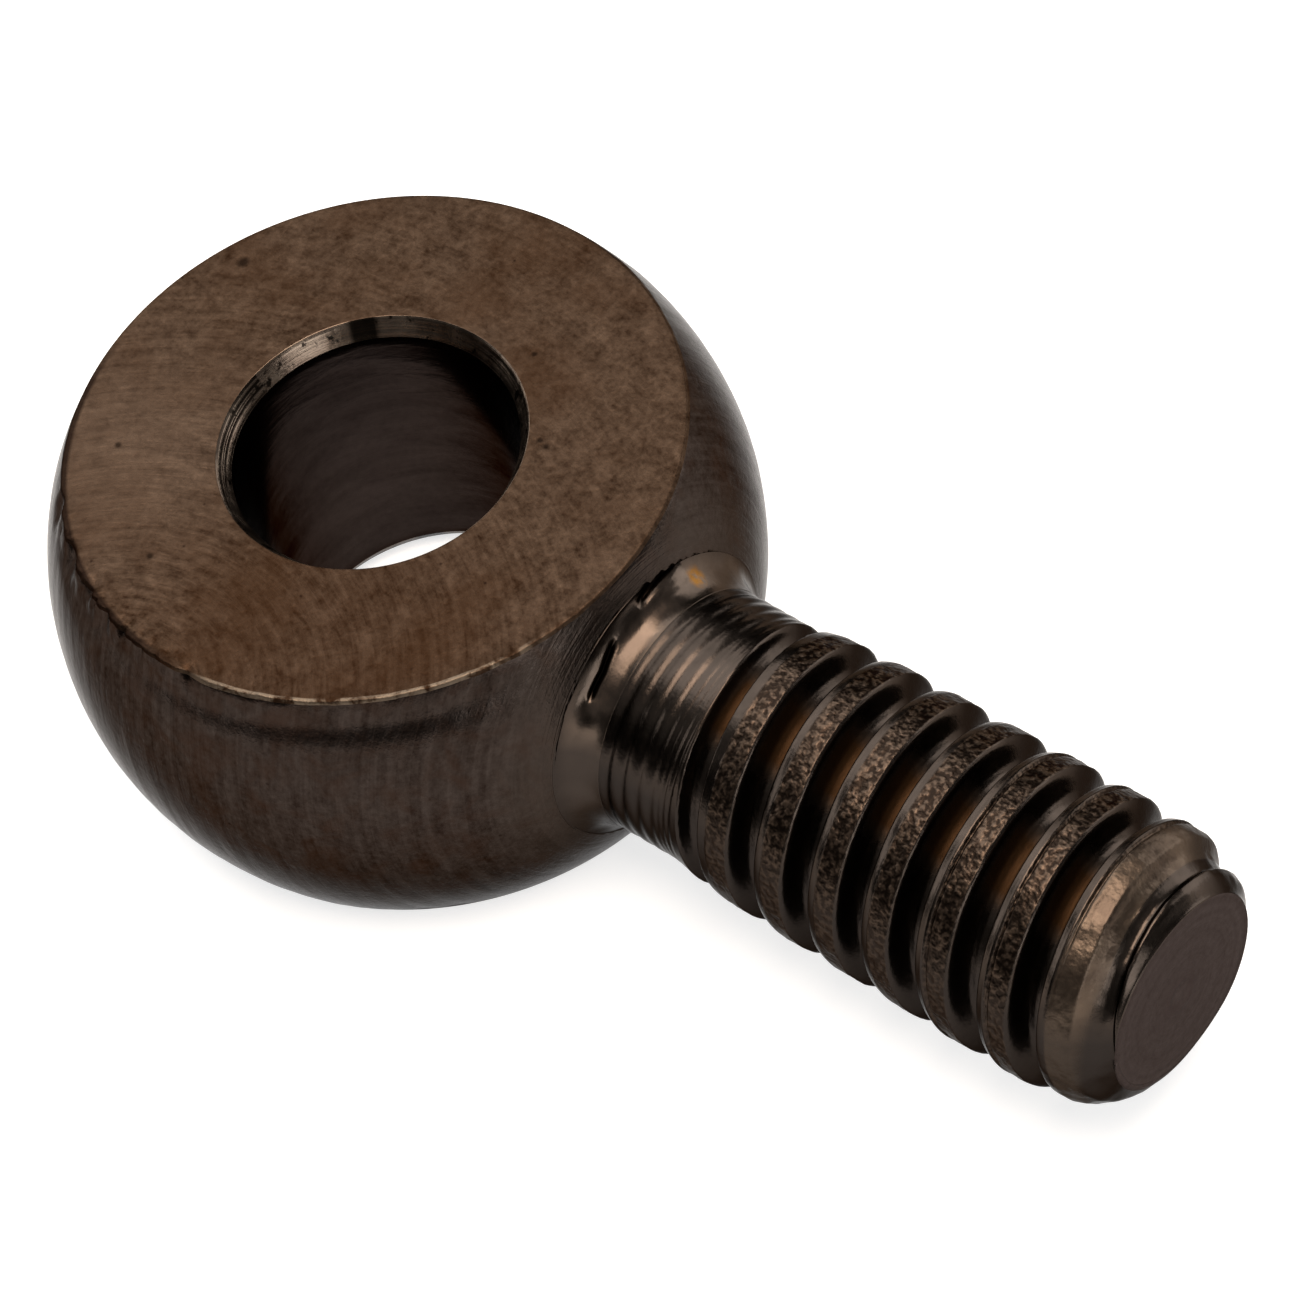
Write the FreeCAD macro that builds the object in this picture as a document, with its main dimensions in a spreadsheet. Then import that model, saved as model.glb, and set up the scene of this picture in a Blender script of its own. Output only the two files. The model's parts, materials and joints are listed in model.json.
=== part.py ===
import FreeCAD, Part
import math
import os
import re
import Sketcher

# Swing-bolt eye: a truncated ball with a cross bore, carried on a short stud with a coarse
# rolled thread. The stud is seated in a stepped socket in the ball. A ring of braze fills the
# coned mouth of the socket and leaves a hollow fillet round the foot of the stud.
#
# Frame: the origin is the centre of the ball, on the axis of the bore. The bore runs along Z,
# between the two flats, and the stud leaves the ball along +X.

doc = FreeCAD.newDocument("SwingBoltEye")
UP = FreeCAD.Vector(0, 0, 1)

# Driving dimensions, in millimetres and degrees.
DIMENSIONS = (
    # the truncated ball
    ("ball_diameter", 12.0),
    ("head_thickness", 6.0),
    ("flat_edge_break", 0.06),
    ("bore_diameter", 4.8),
    ("bore_chamfer_width", 0.2),
    ("bore_chamfer_depth", 0.32),
    # the stepped socket for the stud
    ("spigot_diameter", 3.6),
    ("spigot_start", 3.6),
    ("seat_place", 4.9),
    ("mouth_place", 5.05),
    # the braze fillet between ball and neck
    ("fillet_leg", 0.42),
    ("fillet_hollow", 0.75),
    # the turned neck
    ("neck_diameter", 4.32),
    ("neck_end", 7.25),
    ("ring_first", 6.2),
    ("ring_pitch", 0.3),
    ("ring_count", 4),
    ("ring_width", 0.2),
    ("ring_depth", 0.03),
    # the thread and its chamfered end
    ("thread_diameter", 4.76),
    ("thread_begin", 7.5),
    ("thread_pitch", 1.12),
    ("thread_depth", 0.5),
    ("crest_land", 0.28),
    ("root_land", 0.32),
    ("groove_start", 7.243),
    ("groove_end", 15.4),
    ("groove_overrun", 0.1),
    ("chamfer_start", 14.75),
    ("tip_face_diameter", 3.56),
    ("tip_place", 15.9),
)

sheet = doc.addObject("Spreadsheet::Sheet", "Dimensions")
for row, (alias, value) in enumerate(DIMENSIONS, start=1):
    sheet.set(f"A{row}", alias)
    sheet.set(f"B{row}", str(value))
    sheet.setAlias(f"B{row}", alias)
doc.recompute()
SIZE = {alias: value for alias, value in DIMENSIONS}


def bound(expression):
    """The expression with every size read from the sheet, for setExpression."""
    return re.sub("[a-z_]+", lambda word: f"Dimensions.{word[0]}" if word[0] in SIZE else word[0],
                  expression)


def value_of(expression):
    """The number that a bound expression gives."""
    return float(sheet.evalExpression(bound(expression)))


def new_body(label):
    """A part-design body whose name and label are the node's name."""
    body = doc.addObject("PartDesign::Body", label)
    body.Label = label
    return body


def origin_plane(body, role):
    """One of the body's own origin planes."""
    return next(item for item in body.Origin.OriginFeatures if item.Role == role)


def bind(sketch, kind, where, expression):
    """Add one dimension to a sketch and tie it to the sheet."""
    index = sketch.addConstraint(Sketcher.Constraint(kind, *where, value_of(expression)))
    sketch.setExpression(f"Constraints[{index}]", bound(expression))


def outline(body, name, corners, arcs=None):
    """A closed outline on the body's XZ plane.

    corners are pairs of expressions, along X and along Z. arcs maps the index of an edge, from
    its corner to the next, to the radius and side of the arc that it follows: side is +1 where
    the arc's centre lies to the left of the edge and -1 where it lies to the right.
    """
    arcs = arcs or {}
    sketch = body.newObject("Sketcher::SketchObject", name)
    sketch.AttachmentSupport = [(origin_plane(body, "XZ_Plane"), "")]
    sketch.MapMode = "FlatFace"
    points = [FreeCAD.Vector(value_of(x), value_of(z), 0) for x, z in corners]
    ends = []
    for index, start in enumerate(points):
        stop = points[(index + 1) % len(points)]
        if index not in arcs:
            edge = sketch.addGeometry(Part.LineSegment(start, stop))
            ends.append((edge, 1, 2))
            continue
        radius, side = arcs[index]
        chord = stop - start
        middle = (start + stop) / 2
        normal = UP.cross(chord).normalize() * side
        rise = math.sqrt(value_of(radius) ** 2 - (chord.Length / 2) ** 2)
        centre = middle + normal * rise
        first, last = (start, stop) if side > 0 else (stop, start)
        circle = Part.Circle(centre, UP, value_of(radius))
        angles = [math.atan2(point.y - centre.y, point.x - centre.x) for point in (first, last)]
        edge = sketch.addGeometry(Part.ArcOfCircle(circle, *angles))
        ends.append((edge, 1, 2) if side > 0 else (edge, 2, 1))
    for index, (edge, start_end, _) in enumerate(ends):
        before, _, before_end = ends[index - 1]
        sketch.addConstraint(Sketcher.Constraint("Coincident", before, before_end, edge, start_end))
        bind(sketch, "DistanceX", (-1, 1, edge, start_end), corners[index][0])
        bind(sketch, "DistanceY", (-1, 1, edge, start_end), corners[index][1])
        if index in arcs:
            bind(sketch, "Radius", (edge,), arcs[index][0])
    return sketch


def turn(body, kind, name, sketch, axis):
    """Spin an outline through a full turn: a Revolution adds, a Groove cuts."""
    feature = body.newObject(kind, name)
    feature.Profile = sketch
    feature.ReferenceAxis = (sketch, [axis])
    feature.Angle = 360
    return feature


def cut_checked(body, feature):
    """Recompute, and stop if the cut that was just added took nothing away."""
    before = feature.BaseFeature.Shape.Volume
    doc.recompute()
    if body.Shape.Volume > before - 1e-4:
        raise RuntimeError(f"{body.Label}: {feature.Label} cut nothing")


def eye_head():
    """The ball with its two flats, chamfered bore and stepped socket."""
    body = new_body("eye_head")
    ball = "ball_diameter / 2"
    half = "head_thickness / 2"
    bore = "bore_diameter / 2"
    rim = "bore_diameter / 2 + bore_chamfer_width"
    waist = f"{half} - bore_chamfer_depth"
    shoulder = f"{half} - flat_edge_break"
    flat = f"sqrt(({ball})^2 - ({shoulder})^2) - flat_edge_break"
    edge = f"sqrt(({ball})^2 - ({shoulder})^2)"
    corners = (
        (bore, f"0 - ({waist})"),
        (rim, f"0 - ({half})"),
        (flat, f"0 - ({half})"),
        (edge, f"0 - ({shoulder})"),
        (edge, shoulder),
        (flat, half),
        (rim, half),
        (bore, waist),
    )
    blank = outline(body, "HeadOutline", corners, {3: (ball, 1)})
    turn(body, "PartDesign::Revolution", "Head", blank, "V_Axis")
    doc.recompute()

    spigot = "spigot_diameter / 2"
    neck = "neck_diameter / 2"
    toe = f"{neck} + fillet_leg"
    toe_place = f"sqrt(({ball})^2 - ({toe})^2)"
    socket = outline(body, "SocketOutline", (
        ("spigot_start", "0"),
        (ball, "0"),
        (ball, toe),
        (toe_place, toe),
        ("mouth_place", neck),
        ("seat_place", neck),
        ("seat_place", spigot),
        ("spigot_start", spigot),
    ))
    cut_checked(body, turn(body, "PartDesign::Groove", "Socket", socket, "H_Axis"))
    return body


def threaded_stud():
    """Spigot, neck with its turned rings, rolled thread and chamfered end."""
    body = new_body("threaded_stud")
    spigot = "spigot_diameter / 2"
    neck = "neck_diameter / 2"
    crest = "thread_diameter / 2"
    blank = outline(body, "StudOutline", (
        ("spigot_start", "0"),
        ("tip_place", "0"),
        ("tip_place", "tip_face_diameter / 2"),
        ("chamfer_start", crest),
        ("thread_begin", crest),
        ("neck_end", neck),
        ("seat_place", neck),
        ("seat_place", spigot),
        ("spigot_start", spigot),
    ))
    turn(body, "PartDesign::Revolution", "Stud", blank, "H_Axis")
    doc.recompute()

    ring = outline(body, "RingOutline", (
        ("ring_first - ring_width / 2", f"{neck} + ring_depth"),
        ("ring_first", f"{neck} - ring_depth"),
        ("ring_first + ring_width / 2", f"{neck} + ring_depth"),
    ))
    first_ring = turn(body, "PartDesign::Groove", "ToolRing", ring, "H_Axis")
    cut_checked(body, first_ring)
    rings = body.newObject("PartDesign::LinearPattern", "ToolRings")
    rings.Originals = [first_ring]
    rings.Direction = (ring, ["H_Axis"])
    rings.setExpression("Length", bound("ring_pitch * (ring_count - 1)"))
    rings.setExpression("Occurrences", bound("ring_count"))
    body.Tip = rings
    doc.recompute()

    root = f"thread_depth - {crest}"
    lip = f"0 - {crest}"
    outside = f"0 - {crest} - groove_overrun"
    half_mouth = "(thread_pitch - crest_land) / 2"
    half_root = "root_land / 2"
    groove = outline(body, "GrooveOutline", (
        (f"groove_start - {half_root}", root),
        (f"groove_start + {half_root}", root),
        (f"groove_start + {half_mouth}", lip),
        (f"groove_start + {half_mouth}", outside),
        (f"groove_start - {half_mouth}", outside),
        (f"groove_start - {half_mouth}", lip),
    ))
    thread = body.newObject("PartDesign::SubtractiveHelix", "Thread")
    thread.Profile = groove
    thread.ReferenceAxis = (groove, ["H_Axis"])
    thread.Mode = "pitch-height-angle"
    thread.setExpression("Pitch", bound("thread_pitch"))
    thread.setExpression("Height", bound("groove_end - groove_start"))
    cut_checked(body, thread)
    return body


def braze_fillet():
    """The ring of filler round the neck: it fills the socket's coned mouth and has a hollow face."""
    body = new_body("braze_fillet")
    ball = "ball_diameter / 2"
    neck = "neck_diameter / 2"
    toe = f"{neck} + fillet_leg"
    ring = outline(body, "FilletOutline", (
        ("mouth_place", neck),
        (f"sqrt(({ball})^2 - ({neck})^2) + fillet_leg", neck),
        (f"sqrt(({ball})^2 - ({toe})^2)", toe),
    ), {1: ("fillet_hollow", -1)})
    turn(body, "PartDesign::Revolution", "Fillet", ring, "H_Axis")
    return body


parts = [eye_head(), threaded_stud(), braze_fillet()]
doc.recompute()

for item in doc.Objects:
    if "Invalid" in item.State or "Error" in item.State:
        raise RuntimeError(f"{item.Label} did not recompute: {item.State}")
for part in parts:
    if part.Shape.isNull() or not part.Shape.isValid():
        raise RuntimeError(f"{part.Label} has no valid shape")

os.makedirs("parts", exist_ok=True)
for part in parts:
    part.Shape.exportStep(f"parts/{part.Label}.step")
    box = part.Shape.optimalBoundingBox()
    print(f"{part.Label}: {part.Shape.Volume:.3f} mm3, solids {len(part.Shape.Solids)}, "
          f"X {box.XMin:.2f} to {box.XMax:.2f}, Y {box.YMin:.2f} to {box.YMax:.2f}, "
          f"Z {box.ZMin:.2f} to {box.ZMax:.2f}")
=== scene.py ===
import json
import math

import bmesh
import bpy
import numpy as np
from mathutils import Matrix, Vector


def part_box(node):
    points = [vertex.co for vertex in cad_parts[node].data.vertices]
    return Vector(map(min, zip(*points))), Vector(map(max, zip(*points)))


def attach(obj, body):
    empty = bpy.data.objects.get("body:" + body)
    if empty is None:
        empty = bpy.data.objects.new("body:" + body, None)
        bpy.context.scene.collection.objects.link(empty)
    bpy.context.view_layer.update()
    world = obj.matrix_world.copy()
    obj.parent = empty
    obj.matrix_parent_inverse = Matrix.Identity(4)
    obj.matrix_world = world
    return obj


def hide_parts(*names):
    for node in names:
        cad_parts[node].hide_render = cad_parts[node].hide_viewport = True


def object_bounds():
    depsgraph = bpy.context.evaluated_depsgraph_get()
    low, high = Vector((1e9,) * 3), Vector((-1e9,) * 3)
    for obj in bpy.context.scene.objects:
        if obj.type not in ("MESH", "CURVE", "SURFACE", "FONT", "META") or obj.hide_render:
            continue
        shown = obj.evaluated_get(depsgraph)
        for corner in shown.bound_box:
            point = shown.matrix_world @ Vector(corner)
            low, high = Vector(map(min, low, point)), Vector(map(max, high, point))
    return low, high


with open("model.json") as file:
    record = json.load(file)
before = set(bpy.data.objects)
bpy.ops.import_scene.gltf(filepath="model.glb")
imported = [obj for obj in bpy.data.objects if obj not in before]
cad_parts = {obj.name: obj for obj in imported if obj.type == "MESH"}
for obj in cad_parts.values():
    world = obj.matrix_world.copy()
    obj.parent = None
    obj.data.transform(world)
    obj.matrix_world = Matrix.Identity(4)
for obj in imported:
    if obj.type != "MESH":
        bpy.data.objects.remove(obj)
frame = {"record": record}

CAD_BOX = [list(corner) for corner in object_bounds()]

# All shape work is in millimetres, and each mesh is turned into metres as it is made.
MM = 0.001
HEAD_LOW, HEAD_HIGH = (np.array(corner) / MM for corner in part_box("eye_head"))
STUD_LOW, STUD_HIGH = (np.array(corner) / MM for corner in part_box("threaded_stud"))
FILLET_LOW, FILLET_HIGH = (np.array(corner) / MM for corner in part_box("braze_fillet"))
MOUNTS = {mount["name"]: mount for mount in frame["record"]["mounts"]}

# The head: a ball cut by two flats at plus and minus HALF, with a bore chamfered out to RIM.
# EDGE is the radius of the worn edge between flat and ball.
BALL = -HEAD_LOW[0]
HALF = HEAD_HIGH[2]
FLAT_RADIUS = math.sqrt(BALL ** 2 - HALF ** 2)
BORE = MOUNTS["eye_bore"]["dims"]["r_mm"]
BORE_HALF = MOUNTS["eye_bore"]["dims"]["length_mm"] / 2
CHAMFER = 0.2
RIM = BORE + CHAMFER
EDGE = 0.06

# The stud, along X: a spigot inside the head up to SEAT, a neck, then thread up to the tip.
# NECK, SPIGOT and CREST are radii. GROOVE_AT_SIDE is where a groove's middle crosses the +Y side.
CREST = STUD_HIGH[2]
TIP = STUD_HIGH[0]
NECK = 2.16
SPIGOT = 1.8
SPIGOT_START = STUD_LOW[0]
SEAT = 4.9
PITCH = 1.12
GROOVE_AT_SIDE = 7.523

# The stud's radius without its thread, along the stud
BLANK = (
    (SEAT, NECK), (7.3, NECK), (7.6, 2.20), (8.0, 2.285), (8.6, 2.315), (9.3, 2.34), (10.4, 2.355),
    (11.5, 2.358), (12.6, 2.378), (13.8, 2.378), (14.4, 2.37), (14.9, 2.335), (15.2, 2.245),
    (15.4, 2.165), (15.5, 2.09), (15.6, 2.02), (15.7, 1.965), (15.77, 1.88), (15.83, 1.80),
    (15.88, 1.75), (15.9, 1.73),
)
# How deep the thread is, across one pitch from the groove's middle
THREAD = (
    (-PITCH / 2, 0.0), (-0.41, 0.0), (-0.38, 0.04), (-0.35, 0.14), (-0.31, 0.26), (-0.25, 0.38),
    (-0.16, 0.46), (-0.08, 0.50), (0.00, 0.49), (0.05, 0.42), (0.085, 0.30), (0.11, 0.17),
    (0.125, 0.075), (0.15, 0.045), (0.23, 0.018), (0.32, 0.0), (PITCH / 2, 0.0),
)
# How far each groove strays along the stud on the side that faces up: below 0 is towards the ball
DRIFT = (
    (8.0, 0.0), (9.0, 0.0), (10.1, -0.02), (11.2, -0.05), (12.3, -0.14), (13.4, -0.05),
    (14.5, -0.08), (15.6, -0.12),
)


# ---------------------------------------------------------------- shape tools

def ripple(points, size, seed, waves=28):
    """Smooth noise of about unit height, whose bumps are about size millimetres across."""
    draw = np.random.RandomState(seed)
    ways = draw.normal(size=(waves, 3))
    ways /= np.linalg.norm(ways, axis=1)[:, None]
    ways *= 2 * math.pi / (size * draw.uniform(1.4, 2.8, waves))[:, None]
    phases = draw.uniform(0, 2 * math.pi, waves)
    return np.cos(points @ ways.T + phases).sum(axis=1) * math.sqrt(2 / waves)


def smooth(low, high, value):
    """0 below low, 1 above high and an S-shaped ramp between. It falls if low is the larger."""
    share = np.clip((value - low) / (high - low), 0, 1)
    return share * share * (3 - 2 * share)


def bell(value, centre, width):
    """1 at the centre, falling away over about one width."""
    return np.exp(-((value - centre) / width) ** 2)


def table(value, pairs, soft=0.0):
    """Read a value off a list of pairs, with its corners rounded over a soft width."""
    places, results = np.array(pairs).T
    if not soft:
        return np.interp(value, places, results)
    fine = np.linspace(places[0], places[-1], 4000)
    step = fine[1] - fine[0]
    reach = int(3 * soft / step)
    weights = np.exp(-(np.arange(-reach, reach + 1) * step / soft) ** 2)
    padded = np.pad(np.interp(fine, places, results), reach, mode="edge")
    return np.interp(value, fine, np.convolve(padded, weights / weights.sum(), mode="valid"))


def full_turn(count):
    """That many angles, spaced evenly round a circle."""
    return np.linspace(0, 2 * math.pi, count, endpoint=False)


def ring_about_x(place, radius, angles):
    """Points round the stud's axis. place and radius are numbers, or have one value per angle."""
    return np.stack([place + 0 * angles, radius * np.cos(angles), radius * np.sin(angles)], axis=1)


def ring_mesh(name, rings, closed, slots=None, torn=None):
    """A mesh from rings of points, each joined to the next. rings is rows by columns by 3.

    closed joins the last ring to the first; otherwise both end rings get a middle point.
    slots gives the material slot of each band between two rings, and torn a number at each point for
    the shader: how torn the metal is, and on the filler how strongly its slit and crease are painted in
    shade.
    """
    rows, columns, _ = rings.shape
    points = rings.reshape(-1, 3)
    bands = rows if closed else rows - 1
    row = np.arange(bands)[:, None]
    column = np.arange(columns)[None, :]
    next_row = (row + 1) % rows
    next_column = (column + 1) % columns
    faces = np.stack([
        row * columns + column,
        row * columns + next_column,
        next_row * columns + next_column,
        next_row * columns + column,
    ], axis=-1).reshape(-1, 4).tolist()
    face_slots = np.repeat(np.zeros(bands, int) if slots is None else slots, columns).tolist()
    if not closed:
        for first, turn in ((0, -1), ((rows - 1) * columns, 1)):
            middle = len(points)
            centre = points[first:first + columns].mean(axis=0)
            points = np.vstack([points, centre])
            for index in range(columns):
                pair = [first + index, first + (index + 1) % columns][::turn]
                faces.append([*pair, middle])
                face_slots.append(face_slots[0] if turn < 0 else face_slots[bands * columns - 1])
    mesh = bpy.data.meshes.new(name)
    mesh.from_pydata((points * MM).tolist(), [], faces)
    if torn is not None:
        values = np.zeros(len(points))
        values[:rows * columns] = torn.ravel()
        mesh.attributes.new("torn", "FLOAT", "POINT").data.foreach_set("value", values)
    mesh.polygons.foreach_set("material_index", face_slots)
    mesh.polygons.foreach_set("use_smooth", [True] * len(faces))
    mesh.validate()
    piece = bpy.data.objects.new(name, mesh)
    bpy.context.scene.collection.objects.link(piece)
    return piece


def face_outwards(piece):
    """Make every face of a closed mesh look outwards."""
    work = bmesh.new()
    work.from_mesh(piece.data)
    bmesh.ops.recalc_face_normals(work, faces=work.faces)
    work.to_mesh(piece.data)
    work.free()


def dents(points, places):
    """How far each point sinks into the pits: places are (x, y, z, radius, depth)."""
    sink = np.zeros(len(points))
    for x, y, z, radius, depth in places:
        away = np.linalg.norm(points - np.array([x, y, z]), axis=1)
        sink += depth * np.exp(-(away / radius) ** 2)
    return sink


# ---------------------------------------------------------------- eye head

HEAD_COLUMNS = 580
BORE_ROWS = 25
# Pits as (x, y, z, radius, depth)
FLAT_PITS = (
    (-4.40, 1.71, 3.0, 0.10, 0.018), (2.38, 1.48, 3.0, 0.05, 0.020), (2.54, 1.44, 3.0, 0.06, 0.022),
    (1.14, 2.81, 3.0, 0.05, 0.020), (-3.59, -2.34, 3.0, 0.05, 0.012), (-1.58, -3.75, 3.0, 0.06, 0.010),
)
BALL_PITS = (
    (1.00, -5.68, 1.66, 0.13, 0.030), (1.21, -5.55, 1.93, 0.10, 0.020), (5.16, 1.88, 2.42, 0.05, 0.020),
)
# How far the dark stain of each of the flat's pits reaches
PIT_STAINS = (0.14, 0.07, 0.08, 0.07, 0.08, 0.08)


def head_outline():
    """The head's section as (radius, height, slot) rows: bore 0, chamfer 1, flat 2 and ball 3."""
    crisp = 0.004
    heights = np.linspace(-BORE_HALF + crisp, BORE_HALF - crisp, BORE_ROWS)
    rows = [(BORE, height, 0) for height in heights]
    slope = np.array([RIM - BORE, HALF - BORE_HALF])
    for share in (0.012, 0.2, 0.4, 0.6, 0.8, 0.988):
        rows.append((BORE + slope[0] * share, BORE_HALF + slope[1] * share, 1))
    shoulder = math.sqrt(BALL ** 2 - (HALF - EDGE) ** 2)
    flat_end = shoulder - EDGE
    rows += [(RIM + crisp, HALF, 2), (RIM + 0.03, HALF, 2)]
    rows += [(radius, HALF, 2) for radius in np.linspace(RIM + 0.06, flat_end, 30)]
    for turn in np.linspace(0, math.pi / 2, 6)[1:-1]:
        rows.append((flat_end + EDGE * math.sin(turn) * 0.8, HALF - EDGE * (1 - math.cos(turn)), 2))
    steep = math.asin((HALF - EDGE) / BALL)
    skin = [(BALL * math.cos(angle), BALL * math.sin(angle), 3) for angle in np.linspace(steep, -steep, 63)]
    mirrored = [(radius, -height, slot) for radius, height, slot in reversed(rows[BORE_ROWS:])]
    return rows + skin + mirrored


def eye_head():
    """The truncated ball, with its bore, pits, turned waviness and the torn edge of the upper flat."""
    outline = head_outline()
    radius = np.array([row[0] for row in outline])[:, None]
    height = np.array([row[1] for row in outline])[:, None]
    slots = np.array([row[2] for row in outline])
    around = full_turn(HEAD_COLUMNS)[None, :]
    rings = np.stack([radius * np.cos(around), radius * np.sin(around), height + 0 * around], axis=-1)
    points = rings.reshape(-1, 3)
    wide = np.repeat(radius, HEAD_COLUMNS)
    turn = np.degrees(np.arctan2(points[:, 1], points[:, 0]))
    outward = points / np.linalg.norm(points, axis=1)[:, None]
    on_ball = (np.repeat(slots, HEAD_COLUMNS) == 3).astype(float)

    lathe_rings = ripple(points * [1, 0.03, 0.03], 0.16, 11) * 0.0016
    waviness = ripple(points, 1.6, 12) * 0.004
    skin = lathe_rings + waviness - dents(points, BALL_PITS)
    points = points + outward * (on_ball * skin)[:, None]

    # A shallow valley runs under the flat's near rim.
    near_rim = smooth(-128, -112, turn) * smooth(-18, -34, turn) * on_ball
    valley = 0.044 * near_rim * bell(points[:, 2], 2.56, 0.21)
    points -= outward * valley[:, None]

    on_flat = smooth(HALF - 0.01, HALF - 0.002, points[:, 2])
    points[:, 2] -= on_flat * dents(points, FLAT_PITS)

    # The upper flat's edge is torn on the near left and has a thin raised lip from there to the stud.
    near_edge = smooth(0.30, 0.0, np.abs(wide - FLAT_RADIUS)) * (points[:, 2] > 0)
    torn = smooth(-142, -130, turn) * smooth(-78, -90, turn)
    flattened = points * [1, 1, 0.2]
    tears = np.clip(ripple(flattened, 0.28, 21) + 0.4, 0, 2.2)
    fine_tears = np.clip(ripple(flattened, 0.1, 22), 0, 2)
    bite = near_edge * torn * (0.045 * tears + 0.02 * fine_tears)
    lip = near_edge ** 3 * smooth(-96, -80, turn) * smooth(30, -10, turn)
    radial = np.stack([points[:, 0], points[:, 1], 0 * wide], axis=1) / wide[:, None]
    points -= radial * (bite * 1.2)[:, None]
    points[:, 2] -= bite * 0.8
    points[:, 2] += lip * 0.012 * (1 + 0.5 * ripple(points, 0.2, 23))

    piece = ring_mesh("eye_head_metal", points.reshape(rings.shape), True, slots)
    face_outwards(piece)
    cut_socket(piece)
    for name in ("bore", "chamfer", "flat", "ball"):
        piece.data.materials.append(LOOKS[name])
    return piece


def cut_socket(piece):
    """Take the stud's stepped socket, with its coned mouth, out of the head."""
    mouth = FILLET_HIGH[2]
    mouth_place = math.sqrt(BALL ** 2 - mouth ** 2)
    inset = 0.04
    outline = (
        (SPIGOT_START, SPIGOT), (SEAT, SPIGOT), (SEAT, NECK), (FILLET_LOW[0], NECK),
        (mouth_place, mouth - inset), (BALL + 1, mouth - inset),
    )
    around = full_turn(128)
    rings = np.array([ring_about_x(*corner, around) for corner in outline])
    cutter = ring_mesh("socket_cutter", rings, False)
    face_outwards(cutter)
    cut = piece.modifiers.new("socket", "BOOLEAN")
    cut.operation = "DIFFERENCE"
    cut.solver = "EXACT"
    cut.object = cutter
    bake_modifiers(piece)
    bpy.data.objects.remove(cutter)


def bake_modifiers(piece):
    """Turn a piece's modifiers into its own mesh."""
    held = piece.evaluated_get(bpy.context.evaluated_depsgraph_get())
    mesh = bpy.data.meshes.new_from_object(held)
    piece.modifiers.clear()
    piece.data = mesh


# ---------------------------------------------------------------- threaded stud

STUD_COLUMNS = 176
FACE_RINGS = 30
# The lathe's tool rings on the neck, as (place, depth, width)
TOOL_RINGS = (
    (6.18, 0.020, 0.085), (6.49, 0.022, 0.085), (6.79, 0.020, 0.085), (7.06, 0.020, 0.085),
    (7.22, 0.012, 0.045), (7.34, 0.014, 0.045), (7.47, 0.016, 0.045),
)


def stud_radius(x, turn):
    """The stud's radius at each place along it and angle round it, and where its torn crests are."""
    points = np.stack([x, CREST * np.cos(turn), CREST * np.sin(turn)], axis=1)
    blank = table(x, BLANK, 0.04)
    for number, (place, depth, width) in enumerate(TOOL_RINGS):
        blank = blank - depth * bell(x, place + 0.012 * np.cos(turn + number), width)

    # The thread runs in over most of a turn at the neck and fades at the tip.
    drift = table(x, DRIFT) * np.maximum(0, np.sin(turn - math.radians(24)))
    drift = drift + 0.012 * ripple(points, 1.6, 36)
    count = np.round((x - drift - GROOVE_AT_SIDE) / PITCH - turn / (2 * math.pi))
    turns = count + turn / (2 * math.pi)
    across = x - drift - GROOVE_AT_SIDE - PITCH * turns
    depth = table(across, THREAD, 0.018)
    run_in = smooth(-0.75, 0.1, turns)
    run_out = 1 - 0.62 * smooth(6.55, 7.15, turns)
    missing = np.maximum(0, CREST - blank) * smooth(8.6, 7.9, x)
    radius = blank - np.maximum(0, depth * run_in * run_out - missing)

    # Each crest is a torn land. On the later turns it has a ridge and a fine groove towards the ball.
    place = across % PITCH
    land_end = 0.72 + 0.27 * smooth(14.6, 14.9, x)
    land = smooth(0.29, 0.33, place) * smooth(land_end, land_end - 0.04, place)
    late = smooth(11.9, 12.3, x) * smooth(15.0, 14.8, x)
    radius += late * (0.012 * bell(place, 0.285, 0.03) - 0.060 * bell(place, 0.345, 0.024))
    crest = land * smooth(7.7, 8.1, x) * smooth(15.55, 15.4, x)
    rough = 0.003 * ripple(points, 0.09, 32) + 0.004 * ripple(points, 0.22, 33)
    radius += crest * (rough - 0.006)

    hammered = smooth(14.7, 15.0, x) * smooth(15.85, 15.7, x)
    radius += hammered * (0.004 * ripple(points, 0.22, 34) + 0.008 * ripple(points, 0.6, 35))
    return radius, crest


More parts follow.
